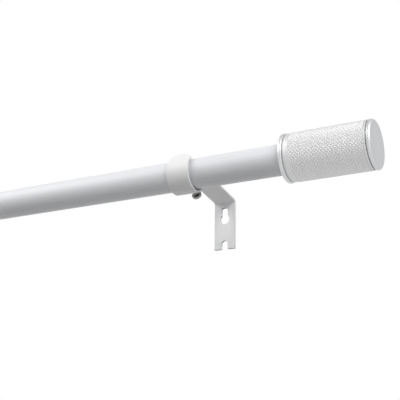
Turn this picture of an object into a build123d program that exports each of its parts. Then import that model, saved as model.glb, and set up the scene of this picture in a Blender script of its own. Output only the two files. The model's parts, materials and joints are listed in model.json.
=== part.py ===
from build123d import *

import os
from math import cos, hypot, pi, radians, sin

os.makedirs("parts", exist_ok=True)

# Extendable curtain rod: a thin tube telescopes in a thicker one, each end carries a knurled
# finial, and two folded strip brackets hold the rod in front of the wall.
# +X runs along the rod to the right-hand finial, +Y runs into the wall and +Z is up.
# The origin lies on the right bracket's back face, on its centre line.

# Rod: where it lies, and its two tubes. When the rod is pushed together, the thinner tube shows
# over the exposed length.
projection = 76.2
rod_height = 30.0
shortest_rod = 711.2
exposed_length = 120.2
outer_tube_diameter = 25.4
inner_tube_diameter = 22.2
tube_wall = 0.8
end_overhang = 88.9

# Plastic parts in the tubes
press_clearance = 0.05
running_clearance = 0.08
mouth_liner_length = 30.0
mouth_lip = 1.2
glide_length = 24.0
glide_wall = 1.6
plug_depth = 18.0
plug_flange = 1.2
plug_stop_gap = 5.0

# Threaded fixing of a finial
stud_diameter = 6.0
stud_reach = 14.0
stud_chamfer = 0.6
insert_diameter = 9.0
insert_length = 12.0
finial_seat_gap = 0.1

# Finial: base ring, knurled sleeve and end cap, in that order from the rod
base_ring_length = 3.7
base_ring_radius = 19.9
base_ring_round = 1.55
base_groove = 0.8
sleeve_length = 64.4
knurl_crest_radius = 19.6
knurl_root_radius = 19.05
knurl_count = 36
knurl_rows = 17
sleeve_collar = 4.0
sleeve_collar_edge = 0.5
sleeve_land = 1.0
sleeve_land_radius = 19.35
sleeve_bore_radius = 16.0
cap_groove = 1.6
groove_radius = 17.8
cap_length = 3.5
cap_radius = 19.7
cap_inner_round = 0.6
cap_round = 2.3
spigot_length = 5.0
cap_boss_radius = 6.0
cap_boss_length = 12.0

# Bracket: one folded strip, as wide as it is in front
strip_width = 20.0
strip_thickness = 2.0
strip_edge_round = 0.45
plate_drop = 14.8
arm_top_at_wall = 30.4
arm_rise = 7.4
wall_bend_radius = 4.0
cup_bend_radius = 4.5
cup_inner_radius = 13.7
cup_forward = 0.7
cup_low = 0.3
cup_end_angle = 135.0
tongue_flare_radius = 14.0
tongue_flare_angle = 25.5
tongue_tip_height = 7.0
slot_width = 6.0
slot_corner = 2.0
slot_top = 23.4
bulb_diameter = 8.8
bulb_height = 12.8
notch_width = 6.0
notch_depth = 7.8
left_bracket_lift = 2.3

# Clamp screw: radial to the cup, from behind and below
clamp_angle = -28.0
clamp_diameter = 4.0
clamp_length = 9.0
clamp_tip_chamfer = 0.5
clamp_tip_gap = 0.05
head_diameter = 8.2
head_height = 2.8
head_round = 1.3
recess_width = 1.2
recess_span = 4.4
recess_depth = 1.5

# Derived places
outer_radius = outer_tube_diameter / 2
inner_radius = inner_tube_diameter / 2
outer_bore = outer_radius - tube_wall
inner_bore = inner_radius - tube_wall
half_width = strip_width / 2
right_end = end_overhang
left_end = right_end - shortest_rod
outer_mouth = left_end + exposed_length
inner_hidden_end = right_end - plug_depth - plug_stop_gap
left_bracket_x = left_end + end_overhang
middle_x = (right_end + left_end) / 2

rod_axis = Axis((0, -projection, rod_height), (1, 0, 0))
profile_plane = Plane(origin=(0, -projection, rod_height), x_dir=(1, 0, 0), z_dir=(0, -1, 0))
mirror_plane = Plane.YZ.offset(middle_x)


def across(x):
    """Plane across the rod at x, seen from the right-hand end."""
    return Plane(origin=(x, -projection, rod_height), x_dir=(0, 1, 0), z_dir=(1, 0, 0))


# Outer tube, drawn steel
with BuildPart() as outer_tube:
    with BuildSketch(across(outer_mouth)):
        Circle(outer_radius)
        Circle(outer_bore, mode=Mode.SUBTRACT)
    extrude(amount=right_end - plug_flange - outer_mouth)
outer_tube.part.label = "outer_tube"
export_step(outer_tube.part, "parts/outer_tube.step")

# Inner tube, which slides in the outer one
inner_tube_start = left_end + plug_flange
with BuildPart() as inner_tube:
    with BuildSketch(across(inner_tube_start)):
        Circle(inner_radius)
        Circle(inner_bore, mode=Mode.SUBTRACT)
    extrude(amount=inner_hidden_end - inner_tube_start)
inner_tube.part.label = "inner_tube"
export_step(inner_tube.part, "parts/inner_tube.step")

# Liner in the outer tube's mouth: it guides the inner tube and covers the cut edge
with BuildPart() as mouth_liner:
    with BuildSketch(profile_plane):
        with BuildLine():
            Polyline(
                (outer_mouth - mouth_lip, inner_radius + running_clearance),
                (outer_mouth + mouth_liner_length, inner_radius + running_clearance),
                (outer_mouth + mouth_liner_length, outer_bore - press_clearance),
                (outer_mouth, outer_bore - press_clearance),
                (outer_mouth, outer_radius),
                (outer_mouth - mouth_lip / 2, outer_radius),
                (outer_mouth - mouth_lip, outer_radius - mouth_lip / 2),
                close=True,
            )
        make_face()
    revolve(axis=rod_axis)
mouth_liner.part.label = "mouth_liner"
export_step(mouth_liner.part, "parts/mouth_liner.step")

# Glide ring on the inner tube's hidden end: a spigot in the tube and a collar that runs in the bore
glide_collar = glide_length / 3
with BuildPart() as inner_glide:
    with BuildSketch(profile_plane):
        with BuildLine():
            Polyline(
                (inner_hidden_end - glide_length + glide_collar, inner_bore - glide_wall),
                (inner_hidden_end + glide_wall, inner_bore - glide_wall),
                (inner_hidden_end + glide_wall, outer_bore - running_clearance),
                (inner_hidden_end, outer_bore - running_clearance),
                (inner_hidden_end, inner_bore - press_clearance),
                (inner_hidden_end - glide_length + glide_collar, inner_bore - press_clearance),
                close=True,
            )
        make_face()
    revolve(axis=rod_axis)
inner_glide.part.label = "inner_glide"
export_step(inner_glide.part, "parts/inner_glide.step")

# Plastic end plug of the outer tube, with a flange over the cut edge
plug_back = right_end - plug_depth
with BuildPart() as end_plug_right:
    with BuildSketch(profile_plane):
        with BuildLine():
            Polyline(
                (plug_back, insert_diameter / 2 + press_clearance),
                (right_end, insert_diameter / 2 + press_clearance),
                (right_end, outer_radius),
                (right_end - plug_flange, outer_radius),
                (right_end - plug_flange, outer_bore - press_clearance),
                (plug_back, outer_bore - press_clearance),
                close=True,
            )
        make_face()
    revolve(axis=rod_axis)
end_plug_right.part.label = "end_plug_right"
export_step(end_plug_right.part, "parts/end_plug_right.step")

# Plastic end plug of the inner tube
with BuildPart() as end_plug_left:
    with BuildSketch(profile_plane):
        with BuildLine():
            Polyline(
                (left_end + plug_depth, insert_diameter / 2 + press_clearance),
                (left_end, insert_diameter / 2 + press_clearance),
                (left_end, inner_radius),
                (left_end + plug_flange, inner_radius),
                (left_end + plug_flange, inner_bore - press_clearance),
                (left_end + plug_depth, inner_bore - press_clearance),
                close=True,
            )
        make_face()
    revolve(axis=rod_axis)
end_plug_left.part.label = "end_plug_left"
export_step(end_plug_left.part, "parts/end_plug_left.step")

# Threaded brass insert of each plug
with BuildPart() as insert_right:
    with BuildSketch(across(right_end - insert_length)):
        Circle(insert_diameter / 2)
        Circle(stud_diameter / 2 + running_clearance, mode=Mode.SUBTRACT)
    extrude(amount=insert_length)
insert_right.part.label = "insert_right"
export_step(insert_right.part, "parts/insert_right.step")

with BuildPart() as insert_left:
    mirror(insert_right.part, about=mirror_plane)
insert_left.part.label = "insert_left"
export_step(insert_left.part, "parts/insert_left.step")

# Finial places, counted along the rod from its end
base_face = right_end + finial_seat_gap
base_shoulder = base_face + base_ring_length
sleeve_start = base_shoulder + base_groove
sleeve_end = sleeve_start + sleeve_length
cap_shoulder = sleeve_end + cap_groove
cap_face = cap_shoulder + cap_length
spigot_radius = sleeve_bore_radius - press_clearance
stud_clear_radius = stud_diameter / 2 + press_clearance

# Base ring of the finial: a turned bead, a groove and a spigot in the sleeve
with BuildPart() as finial_base_right:
    with BuildSketch(profile_plane):
        with BuildLine():
            Polyline(
                (base_face + base_ring_round, base_ring_radius),
                (base_shoulder - base_ring_round, base_ring_radius),
            )
            RadiusArc(
                (base_shoulder - base_ring_round, base_ring_radius),
                (base_shoulder, base_ring_radius - base_ring_round),
                base_ring_round,
            )
            Polyline(
                (base_shoulder, base_ring_radius - base_ring_round),
                (sleeve_start, base_ring_radius - base_ring_round),
                (sleeve_start, spigot_radius),
                (sleeve_start + spigot_length, spigot_radius),
                (sleeve_start + spigot_length, stud_clear_radius),
                (base_face, stud_clear_radius),
                (base_face, base_ring_radius - base_ring_round),
            )
            RadiusArc(
                (base_face, base_ring_radius - base_ring_round),
                (base_face + base_ring_round, base_ring_radius),
                base_ring_round,
            )
        make_face()
    revolve(axis=rod_axis)
finial_base_right.part.label = "finial_base_right"
export_step(finial_base_right.part, "parts/finial_base_right.step")

with BuildPart() as finial_base_left:
    mirror(finial_base_right.part, about=mirror_plane)
finial_base_left.part.label = "finial_base_left"
export_step(finial_base_left.part, "parts/finial_base_left.step")

# Diamond knurl: two crossing sets of grooves leave rows of four-sided pyramids.
# On an unrolled lattice every second point is a crest and the others are where grooves cross.
knurl_start = sleeve_start + sleeve_collar
knurl_length = sleeve_length - sleeve_collar - sleeve_land
knurl_last = 2 * knurl_rows


def lattice_point(i, j):
    radius = knurl_root_radius if (i + j) % 2 == 0 else knurl_crest_radius
    angle = pi * i / knurl_count
    x = knurl_start + knurl_length * j / knurl_last
    return (x, -projection + radius * cos(angle), rod_height + radius * sin(angle))


knurl_faces = []
for j in range(knurl_last + 1):
    for i in range(2 * knurl_count):
        if (i + j) % 2 == 0:
            continue
        for di in (-1, 1):
            for dj in (-1, 1):
                if 0 <= j + dj <= knurl_last:
                    corners = [lattice_point(i, j), lattice_point(i + di, j), lattice_point(i, j + dj)]
                    knurl_faces.append(Face(Wire.make_polygon(corners)))
for j in (0, knurl_last):
    rim = [lattice_point(i, j) for i in range(2 * knurl_count)]
    knurl_faces.append(Face(Wire.make_polygon(rim)))
knurl_band = Solid(Shell(knurl_faces))

# Knurled sleeve: a turned collar, the band and a narrow land, bored through
with BuildPart() as finial_sleeve_right:
    with BuildSketch(across(sleeve_start)):
        Circle(sleeve_land_radius)
    extrude(amount=sleeve_collar)
    fillet(finial_sleeve_right.edges().sort_by(Axis.X)[0], sleeve_collar_edge)
    add(knurl_band)
    with BuildSketch(across(knurl_start + knurl_length)):
        Circle(sleeve_land_radius)
    extrude(amount=sleeve_land)
    with BuildSketch(across(sleeve_start)):
        Circle(sleeve_bore_radius)
    extrude(amount=sleeve_length, mode=Mode.SUBTRACT)
finial_sleeve_right.part.label = "finial_sleeve_right"
export_step(finial_sleeve_right.part, "parts/finial_sleeve_right.step")

with BuildPart() as finial_sleeve_left:
    mirror(finial_sleeve_right.part, about=mirror_plane)
finial_sleeve_left.part.label = "finial_sleeve_left"
export_step(finial_sleeve_left.part, "parts/finial_sleeve_left.step")

# End cap of the finial: a flat turned disc with rounded edges, a groove, a spigot and a boss
with BuildPart() as finial_cap_right:
    with BuildSketch(profile_plane):
        with BuildLine():
            Polyline(
                (cap_shoulder + cap_inner_round, cap_radius),
                (cap_face - cap_round, cap_radius),
            )
            RadiusArc(
                (cap_face - cap_round, cap_radius),
                (cap_face, cap_radius - cap_round),
                cap_round,
            )
            Polyline(
                (cap_face, cap_radius - cap_round),
                (cap_face, 0),
                (sleeve_end, 0),
                (sleeve_end - spigot_length, 0),
                (sleeve_end - spigot_length, spigot_radius),
                (sleeve_end, spigot_radius),
                (sleeve_end, groove_radius),
                (cap_shoulder, groove_radius),
                (cap_shoulder, cap_radius - cap_inner_round),
            )
            RadiusArc(
                (cap_shoulder, cap_radius - cap_inner_round),
                (cap_shoulder + cap_inner_round, cap_radius),
                cap_inner_round,
            )
        make_face()
    revolve(axis=rod_axis)
    with BuildSketch(across(sleeve_end - cap_boss_length)):
        Circle(cap_boss_radius)
    extrude(amount=cap_boss_length)
    with BuildSketch(across(sleeve_end - cap_boss_length)):
        Circle(stud_clear_radius)
    extrude(amount=cap_boss_length, mode=Mode.SUBTRACT)
finial_cap_right.part.label = "finial_cap_right"
export_step(finial_cap_right.part, "parts/finial_cap_right.step")

with BuildPart() as finial_cap_left:
    mirror(finial_cap_right.part, about=mirror_plane)
finial_cap_left.part.label = "finial_cap_left"
export_step(finial_cap_left.part, "parts/finial_cap_left.step")

# Threaded stud: it draws base ring, sleeve and cap together and screws into the insert
stud_start = base_face - stud_reach
with BuildPart() as finial_stud_right:
    with BuildSketch(across(stud_start)):
        Circle(stud_diameter / 2)
    extrude(amount=sleeve_end - press_clearance - stud_start)
    chamfer(finial_stud_right.edges().filter_by(GeomType.CIRCLE), stud_chamfer)
finial_stud_right.part.label = "finial_stud_right"
export_step(finial_stud_right.part, "parts/finial_stud_right.step")

with BuildPart() as finial_stud_left:
    mirror(finial_stud_right.part, about=mirror_plane)
finial_stud_left.part.label = "finial_stud_left"
export_step(finial_stud_left.part, "parts/finial_stud_left.step")

# Bracket profile, in the plane of Y and Z. The drawn line is the side of the strip that lies on
# the wall, is the top of the arm and faces the rod. The strip's thickness is on its left.
cup_y = -projection - cup_forward
cup_z = rod_height - cup_low
rise = radians(arm_rise)
arm_heading = Vector(-cos(rise), sin(rise))
wall_corner = Vector(0, arm_top_at_wall)
# The strip comes down tangent to the cup circle, straight behind the rod
cup_back = Vector(cup_y + cup_inner_radius, cup_z)
corner_run = (wall_corner.X - cup_back.X) / cos(rise)
cup_corner = wall_corner + arm_heading * corner_run
tongue_root = Vector(
    cup_y + cup_inner_radius * cos(radians(cup_end_angle)),
    cup_z + cup_inner_radius * sin(radians(cup_end_angle)),
)
turn = radians(cup_end_angle - 90)
tongue_heading = Vector(cos(turn), sin(turn))
clamp = radians(clamp_angle)
clamp_plane = Plane(origin=(0, cup_y, cup_z), x_dir=(1, 0, 0), z_dir=(0, cos(clamp), sin(clamp)))

with BuildPart() as bracket_right:
    with BuildSketch(Plane.YZ):
        with BuildLine() as strip_line:
            FilletPolyline(
                (0, -plate_drop),
                wall_corner,
                cup_corner,
                cup_back,
                radius=(wall_bend_radius, cup_bend_radius),
            )
            CenterArc((cup_y, cup_z), cup_inner_radius, 0, cup_end_angle - 360)
            flare = JernArc(tongue_root, tongue_heading, tongue_flare_radius, tongue_flare_angle)
            offset(amount=strip_thickness, side=Side.LEFT)
        make_face(strip_line.edges())
    extrude(amount=half_width, both=True)
    fillet(bracket_right.faces().filter_by(Axis.X).edges(), strip_edge_round)

    # Rounded end of the tongue: half an ellipse
    tip = flare @ 1
    tip_turn = radians(90 - (180 - cup_end_angle) + tongue_flare_angle / 2)
    tip_plane = Plane(
        origin=(0, tip.X, tip.Y),
        x_dir=(1, 0, 0),
        z_dir=(0, -sin(tip_turn), cos(tip_turn)),
    )
    with BuildSketch(tip_plane):
        with Locations((0, -tongue_tip_height)):
            Rectangle(2 * strip_width, 2 * tongue_tip_height, align=(Align.CENTER, Align.MIN))
            Ellipse(half_width + strip_edge_round, tongue_tip_height, mode=Mode.SUBTRACT)
    extrude(amount=2 * strip_thickness, both=True, mode=Mode.SUBTRACT)

    # Keyhole for a wall screw: the head passes the bulb and hangs in the slot
    with BuildSketch(Plane.XZ.offset(-1)):
        with Locations((0, bulb_height)):
            Circle(bulb_diameter / 2)
        with Locations((0, slot_top)):
            RectangleRounded(slot_width, slot_top - bulb_height, slot_corner, align=(Align.CENTER, Align.MAX))
    extrude(amount=strip_thickness + 2, mode=Mode.SUBTRACT)

    # Open notch in the plate's lower edge for the second wall screw
    with BuildSketch(Plane.XZ.offset(-1)):
        with Locations((0, notch_depth - notch_width / 2 - plate_drop)):
            Circle(notch_width / 2)
            Rectangle(notch_width, notch_depth, align=(Align.CENTER, Align.MAX))
    extrude(amount=strip_thickness + 2, mode=Mode.SUBTRACT)

    # Tapped hole of the clamp screw
    with BuildSketch(clamp_plane.offset(cup_inner_radius - 1)):
        Circle(clamp_diameter / 2 + running_clearance)
    extrude(amount=strip_thickness + 2, mode=Mode.SUBTRACT)
bracket_right.part.label = "bracket_right"
export_step(bracket_right.part, "parts/bracket_right.step")

# The left bracket is the same part. It hangs a little higher, so that the thinner tube lies in
# the bottom of its cup and the rod stays level.
left_place = Vector(left_bracket_x, 0, left_bracket_lift)
with BuildPart() as bracket_left:
    add(bracket_right.part.moved(Location(left_place)))
bracket_left.part.label = "bracket_left"
export_step(bracket_left.part, "parts/bracket_left.step")


def tip_distance(tube_radius, lift):
    """Distance from the cup's centre to the screw's tip when it bears on a tube."""
    along = cup_forward * cos(clamp) + (cup_low - lift) * sin(clamp)
    return along + tube_radius + clamp_tip_gap


# Clamp screw: a pan head with a cross recess, its flat tip on the tube
right_tip = tip_distance(outer_radius, 0)
screw_plane = Plane(
    origin=clamp_plane.origin,
    x_dir=(1, 0, 0),
    z_dir=(0, -sin(clamp), cos(clamp)),
)
head_seat = right_tip + clamp_length
head_top = head_seat + head_height
with BuildPart() as clamp_screw_right:
    with BuildSketch(screw_plane):
        with BuildLine():
            Polyline(
                (0, right_tip),
                (clamp_diameter / 2 - clamp_tip_chamfer, right_tip),
                (clamp_diameter / 2, right_tip + clamp_tip_chamfer),
                (clamp_diameter / 2, head_seat),
                (head_diameter / 2, head_seat),
                (head_diameter / 2, head_top - head_round),
            )
            RadiusArc(
                (head_diameter / 2, head_top - head_round),
                (head_diameter / 2 - head_round, head_top),
                -head_round,
            )
            Polyline((head_diameter / 2 - head_round, head_top), (0, head_top), (0, right_tip))
        make_face()
    revolve(axis=Axis(clamp_plane.origin, clamp_plane.z_dir))
    with BuildSketch(clamp_plane.offset(head_top)):
        Rectangle(recess_span, recess_width)
        Rectangle(recess_width, recess_span)
    extrude(amount=-recess_depth, mode=Mode.SUBTRACT, taper=12)
clamp_screw_right.part.label = "clamp_screw_right"
export_step(clamp_screw_right.part, "parts/clamp_screw_right.step")

# The left clamp screw reaches further, to the thinner tube
left_tip = tip_distance(inner_radius, left_bracket_lift)
with BuildPart() as clamp_screw_left:
    add(clamp_screw_right.part.moved(Location(left_place + clamp_plane.z_dir * (left_tip - right_tip))))
clamp_screw_left.part.label = "clamp_screw_left"
export_step(clamp_screw_left.part, "parts/clamp_screw_left.step")
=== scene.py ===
# %% [markdown]
# # An extendable curtain rod
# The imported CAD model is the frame: every tube, bracket and finial already stands at its real
# size and place. This lesson dresses it. Smooth pieces keep their CAD shape and get a finish,
# and the pieces whose look is all fine relief, the knurls and the threads, are built as meshes.

import json
from math import cos, pi, radians, sin

import bmesh
import bpy
from mathutils import Matrix, Vector


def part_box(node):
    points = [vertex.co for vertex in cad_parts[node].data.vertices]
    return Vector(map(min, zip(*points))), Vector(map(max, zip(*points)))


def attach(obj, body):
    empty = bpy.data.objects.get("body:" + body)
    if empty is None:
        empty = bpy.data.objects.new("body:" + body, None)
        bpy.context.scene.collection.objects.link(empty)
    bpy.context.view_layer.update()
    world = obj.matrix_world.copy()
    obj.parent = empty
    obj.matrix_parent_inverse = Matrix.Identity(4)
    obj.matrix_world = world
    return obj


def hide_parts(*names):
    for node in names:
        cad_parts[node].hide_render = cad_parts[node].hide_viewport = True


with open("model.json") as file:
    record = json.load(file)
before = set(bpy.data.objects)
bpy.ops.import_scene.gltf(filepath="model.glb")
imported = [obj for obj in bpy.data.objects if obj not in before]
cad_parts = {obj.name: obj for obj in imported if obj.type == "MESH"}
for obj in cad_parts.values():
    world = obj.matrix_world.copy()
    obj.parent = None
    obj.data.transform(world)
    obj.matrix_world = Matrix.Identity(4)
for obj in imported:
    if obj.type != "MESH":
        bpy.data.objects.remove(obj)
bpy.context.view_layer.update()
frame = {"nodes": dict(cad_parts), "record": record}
MM = 0.001

# %% [markdown]
# ## Measures that the pieces share
# The rod's axis is parallel to X. Where each finial starts and ends on it could be typed in
# again here, but it is read from the frame's boxes, so that a mesh that takes over from a CAD
# node starts and ends where that node does.

# %% The rod's axis, and the nodes' places along it
AXIS_Y = -76.2 * MM
AXIS_Z = 30.0 * MM
SIDES = {"right": 1, "left": -1}  # the way that each end of the rod faces along X


def span(cad_node):
    """Lowest and highest X of a CAD node."""
    low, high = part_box(cad_node)
    return low[0], high[0]


for name in ("outer_tube", "inner_tube", "finial_sleeve_right", "finial_sleeve_left"):
    print(name, "from", *[round(v / MM, 1) for v in span(name)], "mm")

# %% [markdown]
# ## Camera
# The rod crosses the photograph rising to the right, seen from below and from the finial's
# side. A camera could be aimed at a target, but a real one is seldom aimed at anything so
# exactly, and it leans a little. So this one has three angles, a place and a lens, fitted to
# the outlines of the rod, the plate and the finial. The picture is square, so one focal length
# in pixels gives the lens on Blender's 36 mm sensor.

# %% Camera
PHOTO_PIXELS = 400
FOCAL_PIXELS = 898.19
SENSOR_WIDTH = 36.0
NEAREST_SEEN = 0.01
YAW, PITCH, ROLL = 27.378, 18.478, -0.843  # degrees
CAMERA_PLACE = Vector((332.58, -692.68, -225.43)) * MM

turn = (
    Matrix.Rotation(radians(YAW), 3, "Z")
    @ Matrix.Rotation(radians(PITCH), 3, "X")
    @ Matrix.Rotation(radians(ROLL), 3, "Y")
)
right, ahead, up = turn.col[0], turn.col[1], turn.col[2]
camera_data = bpy.data.cameras.new("camera")
camera_data.sensor_width = SENSOR_WIDTH
camera_data.lens = FOCAL_PIXELS / PHOTO_PIXELS * SENSOR_WIDTH
camera_data.clip_start = NEAREST_SEEN
camera = bpy.data.objects.new("camera", camera_data)
bpy.context.scene.collection.objects.link(camera)
placing = Matrix((right, up, -ahead)).transposed().to_4x4()
placing.translation = CAMERA_PLACE
camera.matrix_world = placing
bpy.context.scene.camera = camera
print("lens", round(camera_data.lens, 2), "mm")

# %% [markdown]
# ## Two helpers
# Paint makers and web pages give colours as sRGB hex codes, and Blender's sockets want linear
# light, so one function turns the first into the second. The other adds any node at all: its
# settings, then its inputs, so that a material below reads as a list of what feeds what.

# %% Colours from hex


def linear(code):
    """Linear RGBA of an sRGB hex code, by the curve of the sRGB standard."""
    channels = [int(code[i:i + 2], 16) / 255 for i in (1, 3, 5)]
    return (*[c / 12.92 if c <= 0.04045 else ((c + 0.055) / 1.055) ** 2.4 for c in channels], 1.0)


print("mid grey in linear light", [round(c, 3) for c in linear("#808080")])

# %% One way to add a node


def node(tree, kind, settings=None, *in_order, **by_name):
    """A node with its settings and inputs, in order or by name, each a value or a socket."""
    made = tree.nodes.new("ShaderNode" + kind)
    for key, value in (settings or {}).items():
        setattr(made, key, value)
    inputs = list(zip(made.inputs, in_order))
    for key, value in by_name.items():
        wanted = key.replace("_", " ").lower()
        socket = next(s for s in made.inputs if s.name.lower() == wanted and s.enabled)
        inputs.append((socket, value))
    for socket, value in inputs:
        if isinstance(value, bpy.types.NodeSocket):
            tree.links.new(value, socket)
        else:
            socket.default_value = value
    return made


# %% [markdown]
# ## The white room
# The photograph is a product shot on white. A backdrop plane could give that white, but it ends
# somewhere and takes shadows, so here the world itself is white to the camera. To reflections
# it is pale, and brighter behind the rod than on the camera's own side, which gives satin metal
# its darker middle. As light it is very weak, so that pale paint keeps its shading against the
# white. Only rays that the surfaces send out can tell these apart, so the world is left out of
# lamp sampling, which would halve its share in rough metal.

# %% World
AMBIENT = 0.02
CAMERA_SIDE_IN_GLOSS = 0.45
SWEEP_IN_GLOSS = 0.88
TURNED_ENOUGH = 0.4  # the share of Y in a direction at which it meets one side of the room fully

world = bpy.data.worlds.new("studio")
bpy.context.scene.world = world
world.use_nodes = True
world.cycles.sampling_method = "NONE"
tree = world.node_tree
tree.nodes.clear()
path = node(tree, "LightPath")
toward = node(tree, "SeparateXYZ", Vector=node(tree, "TexCoord").outputs["Generated"])
room = node(tree, "MapRange", Value=toward.outputs["Y"], From_Min=-TURNED_ENOUGH,
            From_Max=TURNED_ENOUGH, To_Min=CAMERA_SIDE_IN_GLOSS, To_Max=SWEEP_IN_GLOSS)
in_gloss = node(tree, "MapRange", Value=path.outputs["Is Glossy Ray"], To_Min=AMBIENT,
                To_Max=room.outputs["Result"])
seen = node(tree, "Math", {"operation": "MAXIMUM"},
            path.outputs["Is Camera Ray"], path.outputs["Is Transmission Ray"])
strength = node(tree, "Math", {"operation": "MAXIMUM"}, seen.outputs[0], in_gloss.outputs["Result"])
backdrop = node(tree, "Background", Color=(1.0, 1.0, 1.0, 1.0), Strength=strength.outputs[0])
node(tree, "OutputWorld", Surface=backdrop.outputs[0])
print("world as light", AMBIENT, "- in reflections", CAMERA_SIDE_IN_GLOSS, "to", SWEEP_IN_GLOSS)

# %% [markdown]
# ## Lamps
# Two large softboxes above light the upper half of the tubes. Two weak ones lower down, and a
# small one near the bracket, fill the plate that hangs in its arm's shadow, and since the small
# one is near, its light fades along the rod as it does in the photograph. One more, behind, is
# for the views from there: paint takes its light, and it is left out of reflections, where it
# would edge the metal with a line that a photograph taken from the front does not have. Point
# or sun lamps would light as well, but only a lamp with an area gives a softbox's soft shadow.

# %% Lamps
LIT_POINT = Vector((0.0, -80.0, 30.0)) * MM
LARGE, SMALL = (1.6, 1.0), (0.6, 0.3)
FAR, NEAR = 2.0, 0.8
LAMPS = {  # azimuth, elevation, distance in metres, size in metres, power in watts
    "softbox_right": (55, 40, FAR, LARGE, 24.4),
    "softbox_left": (-55, 40, FAR, LARGE, 21.2),
    "front_right": (45, 20, FAR, LARGE, 5.7),
    "front_left": (-45, 20, FAR, LARGE, 6.6),
    "low_fill": (40, -12, NEAR, SMALL, 0.42),
    "back_fill": (180, 5, FAR, LARGE, 15.0),
}


def around(azimuth, elevation, distance):
    """A place round the bracket: azimuth 0 is straight in front, and grows towards the finial."""
    a, e = radians(azimuth), radians(elevation)
    return Vector((sin(a) * cos(e), -cos(a) * cos(e), sin(e))) * distance + LIT_POINT


for name, (azimuth, elevation, distance, size, power) in LAMPS.items():
    data = bpy.data.lights.new(name, "AREA")
    data.shape = "RECTANGLE"
    data.size, data.size_y = size
    data.energy = power
    lamp = bpy.data.objects.new(name, data)
    bpy.context.scene.collection.objects.link(lamp)
    lamp.location = around(azimuth, elevation, distance)
    lamp.rotation_euler = (LIT_POINT - lamp.location).to_track_quat("-Z", "Y").to_euler()
bpy.data.objects["back_fill"].visible_glossy = False
print(len(LAMPS), "lamps,", round(sum(row[-1] for row in LAMPS.values()), 1), "W in all")

# %% [markdown]
# ## Floor
# A pale studio floor, wide enough for the views from above. The metal shows it as the bright
# band along its lower side. Under these lamps alone it would look grey, and more light on it
# would be more light on the rod as well. So its paint, which takes shadows and lights the rod
# from below, is mixed with a glow that only the camera and the reflections see, and the glow is
# left out of lamp sampling for the same reason as the world.

# %% Floor
FLOOR_SIZE = 12.0
FLOOR_Z = -0.9
FLOOR_COLOUR = "#C2C2C2"
FLOOR_ROUGHNESS = 0.9
GLOW_STRENGTH = 1.0
GLOW_TO_CAMERA = 0.8  # the glow's share of what the camera sees; reflections see nothing else

bpy.ops.mesh.primitive_plane_add(size=FLOOR_SIZE, location=(0, 0, FLOOR_Z))
floor = bpy.context.object
floor.name = "floor"
floor_paint = bpy.data.materials.new("pale floor")
floor_paint.use_nodes = True
floor_paint.cycles.emission_sampling = "NONE"
tree = floor_paint.node_tree
paint = tree.nodes["Principled BSDF"]
paint.inputs["Base Color"].default_value = linear(FLOOR_COLOUR)
paint.inputs["Roughness"].default_value = FLOOR_ROUGHNESS
path = node(tree, "LightPath")
mirrored = node(tree, "Math", {"operation": "MAXIMUM"},
                path.outputs["Is Glossy Ray"], path.outputs["Is Transmission Ray"])
to_camera = node(tree, "MapRange", Value=path.outputs["Is Camera Ray"], To_Max=GLOW_TO_CAMERA)
share = node(tree, "Math", {"operation": "MAXIMUM"},
             mirrored.outputs[0], to_camera.outputs["Result"])
glow = node(tree, "Emission", Strength=GLOW_STRENGTH)
both = node(tree, "MixShader", None, share.outputs[0], paint.outputs[0], glow.outputs[0])
tree.links.new(both.outputs[0], tree.nodes["Material Output"].inputs["Surface"])
floor.data.materials.append(floor_paint)
print("floor", FLOOR_SIZE, "m wide, at z =", FLOOR_Z)

# %% [markdown]
# ## Finishes
# Each finish starts from a Principled shader with values typical for the real material, and
# they are then matched to the photograph. No real surface has one even gloss or is quite flat,
# so two small helpers serve them all: one lets the gloss wander from place to place, the other
# lays a fine relief all over. Image textures could do both, but noise in real millimetres needs
# no unwrapping, and one piece's grain is never stretched against the next one's.

# %% A new finish


def finish(name, code, roughness, metallic=0.0):
    """A material with a Principled shader, and its tree and shader node."""
    made = bpy.data.materials.new(name)
    made.use_nodes = True
    shader = made.node_tree.nodes["Principled BSDF"]
    shader.inputs["Base Color"].default_value = linear(code)
    shader.inputs["Roughness"].default_value = roughness
    shader.inputs["Metallic"].default_value = metallic
    print("finish:", name, code, "roughness", roughness)
    return made, made.node_tree, shader


# %% Gloss that wanders, and an all-over grain


def cloudy_gloss(tree, shader, roughness, swing, cloud_mm):
    """Roughness that drifts a little from place to place, as no real coat is even."""
    place = node(tree, "TexCoord").outputs["Object"]
    cloud = node(tree, "TexNoise", Vector=place, Scale=1 / (cloud_mm * MM), Detail=2.0)
    gloss = node(tree, "MapRange", Value=cloud.outputs["Fac"], To_Min=roughness - swing,
                 To_Max=roughness + swing)
    tree.links.new(gloss.outputs["Result"], shader.inputs["Roughness"])


def grain(tree, shader, grain_mm, depth_mm, strength):
    """A fine relief all over, given by its grain and its depth."""
    place = node(tree, "TexCoord").outputs["Object"]
    pits = node(tree, "TexNoise", Vector=place, Scale=1 / (grain_mm * MM), Detail=2.0)
    relief = node(tree, "Bump", Height=pits.outputs["Fac"], Distance=depth_mm * MM,
                  Strength=strength)
    tree.links.new(relief.outputs["Normal"], shader.inputs["Normal"])


print("a grain of 1 mm is a noise scale of", round(1 / MM))
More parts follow.
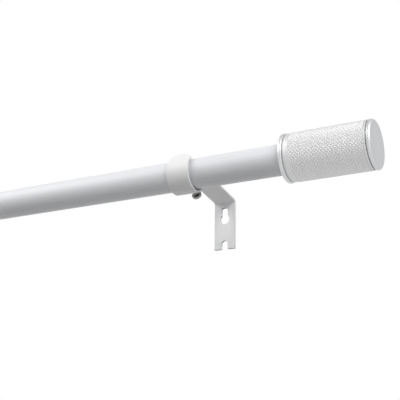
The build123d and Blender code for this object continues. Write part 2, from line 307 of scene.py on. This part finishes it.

# %% [markdown]
# ## Powder coat
# The tubes and brackets are steel, sprayed with polyester powder and baked. The powder melts to
# a satin skin about 0.08 mm thick: it softens every edge to the eye, carries a faint orange
# peel a millimetre or two wide, and hides the metal. So the shader is no metal, and its IOR is
# the start value of 1.5, which is polyester's. The wall plate's cut edges that face down look
# greyer, and here that is painted shade: a darker grey blended in by place and by the way a face
# points, for the little light that reaches faces turned down. A second material on those faces
# would need a new seam.

# %% Painted shade on the plate's downward edges
PLATE_FRONT = -2.3 * MM  # just in front of the 2 mm plate
PLATE_FADE = 0.2 * MM
# painted shade fades in between these two Z values of the normal
DOWN_FROM, DOWN_TO = -0.4, -0.8  # Z of the normal where the grey starts and where it is full


def painted_shade_on_down_edges(tree, shader, code, shade_code):
    """Painted shade: the wall plate's edges that face down are blended to a darker grey."""
    spot = node(tree, "SeparateXYZ", Vector=node(tree, "TexCoord").outputs["Object"])
    facing = node(tree, "SeparateXYZ", Vector=node(tree, "NewGeometry").outputs["Normal"])
    in_plate = node(tree, "MapRange", Value=spot.outputs["Y"],
                    From_Min=PLATE_FRONT - PLATE_FADE, From_Max=PLATE_FRONT)
    downward = node(tree, "MapRange", Value=facing.outputs["Z"], From_Min=DOWN_FROM,
                    From_Max=DOWN_TO)
    both = node(tree, "Math", {"operation": "MULTIPLY"},
                in_plate.outputs["Result"], downward.outputs["Result"])
    blend = node(tree, "Mix", {"data_type": "RGBA"}, Factor=both.outputs[0], A=linear(code),
                 B=linear(shade_code))
    tree.links.new(next(s for s in blend.outputs if s.enabled), shader.inputs["Base Color"])


print("taken as the plate: all within", round(-PLATE_FRONT / MM, 1), "mm of the wall")

# %% Powder coat
SATIN_LEVEL = 0.3  # the peel scatters what a smooth coat, at 0.5, would mirror


def powder_coat(name, code, roughness, shade_code=None):
    """Baked polyester powder on steel: the melted grains leave a faint orange peel."""
    made, tree, shader = finish(name, code, roughness)
    # the plate's downward edges get painted shade in shade_code
    if shade_code:
        painted_shade_on_down_edges(tree, shader, code, shade_code)
    shader.inputs["Specular IOR Level"].default_value = SATIN_LEVEL
    cloudy_gloss(tree, shader, roughness, swing=0.03, cloud_mm=40)
    grain(tree, shader, grain_mm=1.6, depth_mm=0.02, strength=0.35)
    return made


rod_coat = powder_coat("satin powder coat, rod", "#E9EAED", 0.42)
# painted shade in #77777A on the bracket plate's downward edges
bracket_coat = powder_coat("satin powder coat, bracket", "#F3F3F4", 0.45, "#77777A")

# %% [markdown]
# ## Turned metal
# The finial is turned from aluminium bar on a lathe and clear anodised, which leaves the metal
# pale and soft: it shows the studio as broad bands of light, never as a sharp picture. The tool
# leaves rings about a tenth of a millimetre apart, too fine to show here, so they are drawn
# several times coarser, as a faint relief and as painted shade, a faint darkening of the colour
# along the rings for the shade they catch. A wave texture could draw them, but too evenly. A
# noise that knows only the distance along the axis and the distance from it makes uneven rings
# on the sides and on the end face alike, as a lathe does.

# %% Turned metal
# painted shade along the rings
RING_SHADE = 0.9  # the darkest lines keep this share of the colour
RING_GLOSS_SWING = 0.05
NOISE_LOW, NOISE_HIGH = 0.35, 0.65  # nearly all of the noise lies between these


def turned_metal(name, code, roughness, ring_mm, depth_mm):
    """Metal with lathe rings round the rod's axis."""
    made, tree, shader = finish(name, code, roughness, metallic=1.0)
    parts = node(tree, "SeparateXYZ", Vector=node(tree, "TexCoord").outputs["Object"])
    across = node(tree, "CombineXYZ", Y=parts.outputs["Y"], Z=parts.outputs["Z"])
    off_axis = node(tree, "VectorMath", {"operation": "SUBTRACT"},
                    across.outputs[0], (0.0, AXIS_Y, AXIS_Z))
    radius = node(tree, "VectorMath", {"operation": "LENGTH"}, off_axis.outputs[0])
    along_and_out = node(tree, "CombineXYZ", X=parts.outputs["X"], Y=radius.outputs["Value"])
    rings = node(tree, "TexNoise", Vector=along_and_out.outputs[0], Scale=1 / (ring_mm * MM),
                 Detail=3.0)
    relief = node(tree, "Bump", Height=rings.outputs["Fac"], Distance=depth_mm * MM, Strength=1.0)
    tree.links.new(relief.outputs["Normal"], shader.inputs["Normal"])
    gloss = node(tree, "MapRange", Value=rings.outputs["Fac"],
                 To_Min=roughness - RING_GLOSS_SWING, To_Max=roughness + RING_GLOSS_SWING)
    tree.links.new(gloss.outputs["Result"], shader.inputs["Roughness"])
    full = linear(code)
    shaded = (*[c * RING_SHADE for c in full[:3]], 1.0)
    between = node(tree, "MapRange", Value=rings.outputs["Fac"], From_Min=NOISE_LOW,
                   From_Max=NOISE_HIGH)
    tone = node(tree, "Mix", {"data_type": "RGBA"}, Factor=between.outputs["Result"], A=full,
                B=shaded)
    tree.links.new(next(s for s in tone.outputs if s.enabled), shader.inputs["Base Color"])
    return made


satin = turned_metal("anodised aluminium, turned", "#D0D1D2", 0.5, ring_mm=0.9, depth_mm=0.02)
knurled = turned_metal("anodised aluminium, knurled", "#CFCFCF", 0.63, ring_mm=0.5,
                       depth_mm=0.004)

# %% [markdown]
# ## Screws, studs, inserts and plastic
# The clamp screws are steel under black nickel, a smoky mirror that shows dark between its
# highlights. The studs are bright zinc: pale, faintly blue and a little clouded by the bath.
# The inserts are brass turned from bar, so they take the lathe's rings, here in gold. The
# plugs, the liner and the glide are moulded polypropylene, a waxy white: the mould's
# spark-eroded skin is a grain of a few hundredths of a millimetre, drawn coarser here so that
# it shows at all. All four reuse the helpers above, with a scale and a depth of their own.

# %% Plated steel and moulded plastic
POLYPROPYLENE_IOR = 1.49


def plated_steel(name, code, roughness):
    """Bright plating on steel: sharp enough to mirror, clouded enough to look like metal."""
    made, tree, shader = finish(name, code, roughness, metallic=1.0)
    cloudy_gloss(tree, shader, roughness, swing=0.06, cloud_mm=2.5)
    grain(tree, shader, grain_mm=0.4, depth_mm=0.004, strength=0.5)
    return made


def moulded_plastic(name, code, roughness):
    """Polypropylene from a spark-eroded mould."""
    made, tree, shader = finish(name, code, roughness)
    shader.inputs["IOR"].default_value = POLYPROPYLENE_IOR
    cloudy_gloss(tree, shader, roughness, swing=0.04, cloud_mm=6)
    grain(tree, shader, grain_mm=0.5, depth_mm=0.015, strength=0.5)
    return made


nickel = plated_steel("black nickel on steel", "#8E8E8D", 0.25)
zinc = plated_steel("bright zinc on steel", "#C4C6C8", 0.35)
brass = turned_metal("turned brass", "#D9B56A", 0.3, ring_mm=0.5, depth_mm=0.006)
plastic = moulded_plastic("white polypropylene, moulded", "#E4E4E2", 0.5)

# %% [markdown]
# ## Dress the frame
# The record already says which finish each piece has, as the name of a material slot. So the
# pieces are not listed here: each CAD node looks its finish up by its slot.

# %% Dress the CAD nodes
FINISH_OF_SLOT = {
    "rod_paint": rod_coat,
    "bracket_paint": bracket_coat,
    "finial_metal": satin,
    "knurled_metal": knurled,
    "screw_steel": nickel,
    "stud_steel": zinc,
    "brass": brass,
    "white_plastic": plastic,
}

for part in frame["record"]["subparts"]:
    solid = frame["nodes"][part["node"]]
    solid.data.materials.clear()
    solid.data.materials.append(FINISH_OF_SLOT[part["material_slot"]])

# %% [markdown]
# ## Knurled sleeves
# A knurling tool rolls two crossing sets of grooves into the sleeve, and between them stand
# rows of small pyramids with flat tops. One diamond is five faces: its top and four slopes that
# run down to the grooves. Two loops set it side by side round the sleeve and along it. A bump
# would be quicker, but the pyramids also show on the sleeve's edge, so a mesh suits them. The
# diamonds are as large as they are in the photograph, which puts 38 round the sleeve and 22
# along it. A plain collar starts the sleeve, and a plain land ends it. The land runs on a
# little over the groove before the cap, which the photograph shows as a thin dark line only.

# %% Measures of the knurl
DIAMOND_LENGTH = 2.73 * MM
DIAMOND_WIDTH = 3.22 * MM
KNURL_DEPTH = 0.36 * MM
KNURL_TOP_SHARE = 0.42
COLLAR = 4.0 * MM
COLLAR_DROP = 0.25 * MM  # the collar and the land are this much lower than the diamonds' tops
COLLAR_EDGE = 0.5 * MM
EDGE_MIDDLE = 0.3  # of the edge's radius: how far in the middle of a quarter round lies
LAND = 1.0 * MM
LAND_RUNS_ON = 0.8 * MM
BORE_RADIUS = 16.0 * MM


def on_ring(x, radius, angle):
    """A point at that angle round the rod's axis."""
    return Vector((x, AXIS_Y + radius * cos(angle), AXIS_Z + radius * sin(angle)))


print("diamond", round(DIAMOND_LENGTH / MM, 2), "mm long,", round(DIAMOND_WIDTH / MM, 2), "mm wide")

# %% A lathe for rings
LATHE_STEPS = 160


def turn_profile(mesh, profile):
    """Turns a closed profile of (x, radius) points round the rod's axis, in a bmesh."""
    rings = []
    for k in range(LATHE_STEPS):
        angle = 2 * pi * k / LATHE_STEPS
        rings.append([mesh.verts.new(on_ring(x, radius, angle)) for x, radius in profile])
    for k in range(LATHE_STEPS):
        here, after = rings[k], rings[(k + 1) % LATHE_STEPS]
        for m in range(len(profile)):
            n = (m + 1) % len(profile)
            mesh.faces.new((here[m], after[m], after[n], here[n]))


print(f"a ring of {LATHE_STEPS} steps is true to {1 - cos(pi / LATHE_STEPS):.2%} of its radius")

# %% A knurled band
FOUR_WAYS = ((1, 0), (0, 1), (-1, 0), (0, -1))


def knurl_band(mesh, start, end, crest):
    """Rows of flat-topped pyramids between two places on the axis, closed by a bore."""
    count_round = round(2 * pi * crest / DIAMOND_WIDTH)
    count_along = round(abs(end - start) / DIAMOND_LENGTH)
    steps_round, steps_along = 2 * count_round, 2 * count_along

    def spot(i, j, radius):
        """The point i half diamonds round and j half diamonds along."""
        return on_ring(start + (end - start) * j / steps_along, radius, pi * i / count_round)

    # Every second point of the grid is a crossing of two grooves, and the others carry diamonds.
    crossing = {}
    for j in range(steps_along + 1):
        for i in range(j % 2, steps_round, 2):
            crossing[i, j] = mesh.verts.new(spot(i, j, crest - KNURL_DEPTH))
    for j in range(steps_along + 1):
        for i in range((j + 1) % 2, steps_round, 2):
            ways = [(di, dj) for di, dj in FOUR_WAYS if 0 <= j + dj <= steps_along]
            foot = [crossing[(i + di) % steps_round, j + dj] for di, dj in ways]
            corners = [(i + di * KNURL_TOP_SHARE, j + dj * KNURL_TOP_SHARE) for di, dj in ways]
            top = [mesh.verts.new(spot(*corner, crest)) for corner in corners]
            mesh.faces.new(top)
            for m in range(len(ways)):
                n = (m + 1) % len(ways)
                mesh.faces.new((foot[m], foot[n], top[n], top[m]))
    rims = {}
    for j in (0, steps_along):
        rim = rims[j] = [mesh.verts.new(spot(i, j, BORE_RADIUS)) for i in range(steps_round)]
        for i in range(0, steps_round, 2):
            n = (i + 2) % steps_round
            mesh.faces.new((crossing[i, j], crossing[n, j], rim[n], rim[i + 1], rim[i]))
    for i in range(steps_round):
        n = (i + 1) % steps_round
        mesh.faces.new((rims[0][i], rims[0][n], rims[steps_along][n], rims[steps_along][i]))
    return count_round, count_along


# %% A bmesh as a piece
SHARP = radians(30)


def mesh_piece(name, mesh, material):
    """The bmesh as a named object: faces outward, round stretches smooth, corners sharp."""
    bmesh.ops.recalc_face_normals(mesh, faces=mesh.faces)
    for face in mesh.faces:
        face.smooth = True
    for line in mesh.edges:
        line.smooth = line.calc_face_angle(pi) < SHARP
    data = bpy.data.meshes.new(name)
    mesh.to_mesh(data)
    mesh.free()
    data.materials.append(material)
    piece = bpy.data.objects.new(name, data)
    bpy.context.scene.collection.objects.link(piece)
    return piece


# %% Make both sleeves
for side, outward in SIDES.items():
    low_x, high_x = span("finial_sleeve_" + side)
    rod_end, cap_end = (low_x, high_x) if outward > 0 else (high_x, low_x)
    sleeve_low, sleeve_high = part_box("finial_sleeve_" + side)
    crest = (sleeve_high[2] - sleeve_low[2]) / 2
    collar = crest - COLLAR_DROP
    band_start = rod_end + outward * COLLAR
    band_end = cap_end - outward * LAND
    land_end = cap_end + outward * LAND_RUNS_ON
    made = bmesh.new()
    count_round, count_along = knurl_band(made, band_start, band_end, crest)
    turn_profile(made, [
        (rod_end, BORE_RADIUS),
        (rod_end, collar - COLLAR_EDGE),
        (rod_end + outward * COLLAR_EDGE * EDGE_MIDDLE, collar - COLLAR_EDGE * EDGE_MIDDLE),
        (rod_end + outward * COLLAR_EDGE, collar),
        (band_start, collar),
        (band_start, BORE_RADIUS),
    ])
    turn_profile(made, [
        (band_end, BORE_RADIUS), (band_end, collar), (land_end, collar), (land_end, BORE_RADIUS),
    ])
    sleeve = mesh_piece("knurled_sleeve_" + side, made, knurled)
    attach(sleeve, "finial_" + side)
    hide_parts("finial_sleeve_" + side)
    print(sleeve.name, count_round, "diamonds round,", count_along, "along,",
          len(sleeve.data.polygons), "faces")

# %% [markdown]
# ## Threads
# The clamp screws have an M4 thread and the finial studs an M6 thread. The frame holds plain
# cylinders in their place. Each screw here keeps the frame's own head or far end: its mesh is
# copied and cut across, and the lost stretch comes back as a thread. The screw modifier could
# turn a tooth into a thread, but leaves its two ends open. So the thread is a strip wound round
# a core: two rows of points a turn, one at the root and one at the crest, where a point's
# neighbour past the last step of a turn is the first step of the next one.

# %% A thread
THREAD_STEPS = 28
THREAD_DEPTH = 0.54  # of the pitch, as on a metric thread
SLIVER = 0.001 * MM  # faces narrower than this are left out, where the thread's ends are cut


def wind_thread(mesh, foot, axis, length, radius, pitch):
    """A V thread from its foot along an axis, chamfered at the foot, in a bmesh."""
    side = axis.orthogonal().normalized()
    across = axis.cross(side)
    root = radius - THREAD_DEPTH * pitch
    turns = int(length / pitch) + 2

    def spot(along, out, k):
        """The point at step k of a turn, that far along the axis and out from it."""
        angle = 2 * pi * k / THREAD_STEPS
        return foot + axis * along + (side * cos(angle) + across * sin(angle)) * out

    rows = []
    for row in range(2 * turns + 1):
        full = radius if row % 2 else root
        ring = []
        for k in range(THREAD_STEPS):
            along = min(max((row / 2 + k / THREAD_STEPS - 1) * pitch, 0), length)
            ring.append(mesh.verts.new(spot(along, min(full, root + along), k)))
        rows.append(ring)
    for row in range(2 * turns - 2):
        for k in range(THREAD_STEPS):
            last = k == THREAD_STEPS - 1
            near = rows[row + 2][0] if last else rows[row][k + 1]
            far = rows[row + 3][0] if last else rows[row + 1][k + 1]
            a, b, c, d = rows[row][k], near, far, rows[row + 1][k]
            if (a.co - d.co).length + (b.co - c.co).length > SLIVER:
                mesh.faces.new((a, b, c, d))
    mesh.faces.new([mesh.verts.new(spot(0, root, k)) for k in range(THREAD_STEPS)])


print("thread:", THREAD_STEPS, "steps a turn,", THREAD_DEPTH, "of the pitch deep")

# %% A screw with its plain stretch exchanged for a thread


def threaded(name, cad_node, axis, diameter, length, pitch, material, body):
    """A copy of a CAD screw whose first stretch, from its foot along the axis, is threaded."""
    source = frame["nodes"][cad_node].data
    side = axis.orthogonal().normalized()
    across = axis.cross(side)
    reach = [[v.co.dot(way) for v in source.vertices] for way in (axis, side, across)]
    foot = axis * min(reach[0])
    for way, values in ((side, reach[1]), (across, reach[2])):
        foot += way * (min(values) + max(values)) / 2
    made = bmesh.new()
    made.from_mesh(source)
    everything = list(made.verts) + list(made.edges) + list(made.faces)
    cut = foot + axis * length
    bmesh.ops.bisect_plane(made, geom=everything, plane_co=cut, plane_no=axis, clear_inner=True)
    wind_thread(made, foot, axis, length, diameter / 2, pitch)
    piece = mesh_piece(name, made, material)
    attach(piece, body)
    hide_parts(cad_node)
    print(name, f"M{diameter / MM:g},", round(length / MM, 1), "mm of thread,",
          len(piece.data.polygons), "faces")


# %% Clamp screws and studs
CLAMP_DIAMETER, CLAMP_PITCH, CLAMP_THREAD = 4.0 * MM, 0.7 * MM, 9.0 * MM
STUD_DIAMETER, STUD_PITCH, STUD_THREAD = 6.0 * MM, 1.0 * MM, 20.0 * MM
CLAMP_ANGLE = radians(-28)  # from its foot, the screw points back to the wall and down
CLAMP_AXIS = Vector((0, cos(CLAMP_ANGLE), sin(CLAMP_ANGLE)))

for side, outward in SIDES.items():
    threaded("clamp_screw_thread_" + side, "clamp_screw_" + side, CLAMP_AXIS, CLAMP_DIAMETER,
             CLAMP_THREAD, CLAMP_PITCH, nickel, "clamp_" + side)
    threaded("finial_stud_thread_" + side, "finial_stud_" + side, Vector((outward, 0, 0)),
             STUD_DIAMETER, STUD_THREAD, STUD_PITCH, zinc, "finial_" + side)

# %% [markdown]
# ## Colours as written
# The Standard view shows a colour as its hex code says, where a film-like view would grey the
# white room.

# %% View settings
scene = bpy.context.scene
scene.view_settings.view_transform = "Standard"
